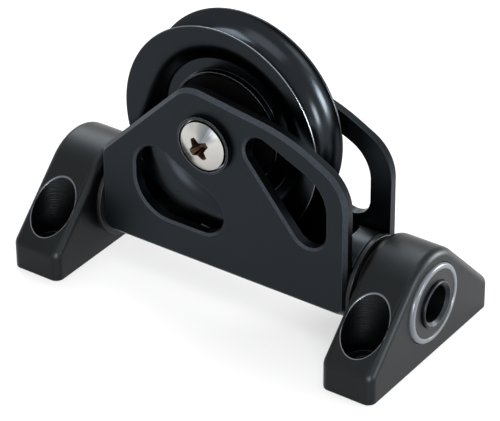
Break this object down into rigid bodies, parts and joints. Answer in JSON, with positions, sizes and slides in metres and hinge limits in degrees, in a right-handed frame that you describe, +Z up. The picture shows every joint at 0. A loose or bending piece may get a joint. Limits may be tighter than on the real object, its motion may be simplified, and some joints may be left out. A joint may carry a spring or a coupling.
{
  "type": "swinging deck lead block",
  "caption": "Deck lead block: grooved sheave on rollers in a two-cheek frame that swings on hollow pins between wedge-shaped screw-down feet.",
  "frame": {"origin": "centre of the footprint of the two feet, on the deck", "axes": "+X along the swing axis, towards the end with the long falling shoulder; +Y across the cheeks; +Z up from the deck"},
  "size_m": [0.1118, 0.0536, 0.074],
  "materials": {
    "anodised_foot": "satin charcoal anodised",
    "anodised_frame": "satin black anodised",
    "anodised_sheave": "gloss black hard anodised",
    "grey_acetal": "matt grey bearing plastic",
    "anodised_pin": "black hard anodised",
    "anodised_cup": "black anodised",
    "stainless": "polished stainless steel",
    "race": "ground and hard anodised",
    "roller_plastic": "ground bearing plastic",
    "black_acetal": "matt black bearing plastic"
  },
  "bodies": {
    "feet": {"foot_left": "anodised_foot", "foot_right": "anodised_foot", "pivot_bush_outer_left": "grey_acetal", "pivot_bush_outer_right": "grey_acetal", "pivot_bush_inner_left": "grey_acetal", "pivot_bush_inner_right": "grey_acetal", "thrust_washer_left": "grey_acetal", "thrust_washer_right": "grey_acetal"},
    "swinging_frame": {"frame": "anodised_frame", "pivot_pin_left": "anodised_pin", "pivot_pin_right": "anodised_pin", "axle": "stainless", "inner_race": "race", "axle_spacer_front": "black_acetal", "axle_spacer_rear": "black_acetal", "axle_cup_front": "anodised_cup", "axle_cup_rear": "anodised_cup", "axle_screw_front": "stainless", "axle_screw_rear": "stainless"},
    "turning_sheave": {"sheave": "anodised_sheave", "outer_race": "race", "bearing_cover_front": "black_acetal", "bearing_cover_rear": "black_acetal"},
    "roller_set": {"roller_cage": "black_acetal", "roller_01": "roller_plastic", "roller_02": "roller_plastic", "roller_03": "roller_plastic", "roller_04": "roller_plastic", "roller_05": "roller_plastic", "roller_06": "roller_plastic", "roller_07": "roller_plastic", "roller_08": "roller_plastic", "roller_09": "roller_plastic", "roller_10": "roller_plastic", "roller_11": "roller_plastic", "roller_12": "roller_plastic"}
  },
  "joints": [
    {"name": "frame_swing", "type": "hinge", "parent": "feet", "child": "swinging_frame", "pos_m": [0, 0, 0.0151], "axis": [1, 0, 0], "range_deg": [-90, 90]},
    {"name": "sheave_spin", "type": "hinge", "parent": "swinging_frame", "child": "turning_sheave", "pos_m": [-0.004, 0, 0.0455], "axis": [0, 1, 0], "continuous": true},
    {"name": "roller_spin", "type": "hinge", "parent": "swinging_frame", "child": "roller_set", "pos_m": [-0.004, 0, 0.0455], "axis": [0, 1, 0], "continuous": true}
  ],
  "couplings": [
    {"joint": "roller_spin", "follows": "sheave_spin", "ratio": 0.59}
  ]
}
